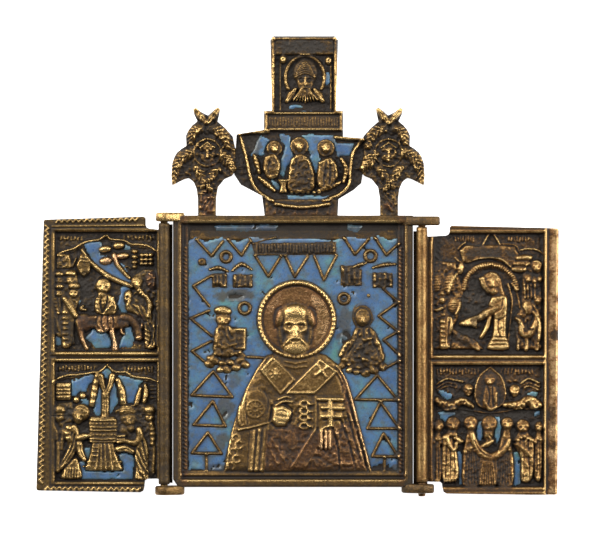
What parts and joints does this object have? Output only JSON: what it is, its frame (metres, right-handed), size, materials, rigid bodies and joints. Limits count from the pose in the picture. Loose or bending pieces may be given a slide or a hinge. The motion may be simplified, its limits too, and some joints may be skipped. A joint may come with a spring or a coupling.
{
  "type": "folding icon triptych",
  "caption": "Small folding icon of three hinged cast leaves with relief pictures, enamelled grounds and a crest, lying open on its back.",
  "frame": {"origin": "middle of the central leaf's back face", "axes": "+Z out of the pictures, away from the surface the icon lies on; +Y towards the top of the pictures; +X towards the right leaf as seen from the front"},
  "size_m": [0.1148, 0.101, 0.0047],
  "materials": {
    "aged_brass_centre": "worn cast surface, dark in the hollows and bright on the ridges",
    "aged_brass_left_leaf": "worn cast surface, dark in the hollows and bright on the ridges",
    "aged_brass_right_leaf": "worn cast surface, redder than the other leaves, rubbed bright on the lip",
    "enamel": "vitreous enamel, pitted and partly lost"
  },
  "bodies": {
    "centre": {"central_leaf": "aged_brass_centre"},
    "left": {"left_leaf": "aged_brass_left_leaf"},
    "right": {"right_leaf": "aged_brass_right_leaf"}
  },
  "joints": [
    {"name": "left_hinge", "type": "hinge", "parent": "centre", "child": "left", "pos_m": [-0.02825, 0, 0.0028], "axis": [0, 1, 0], "range_deg": [0, 180]},
    {"name": "right_hinge", "type": "hinge", "parent": "centre", "child": "right", "pos_m": [0.02825, 0, 0.0028], "axis": [0, -1, 0], "range_deg": [0, 180]}
  ]
}
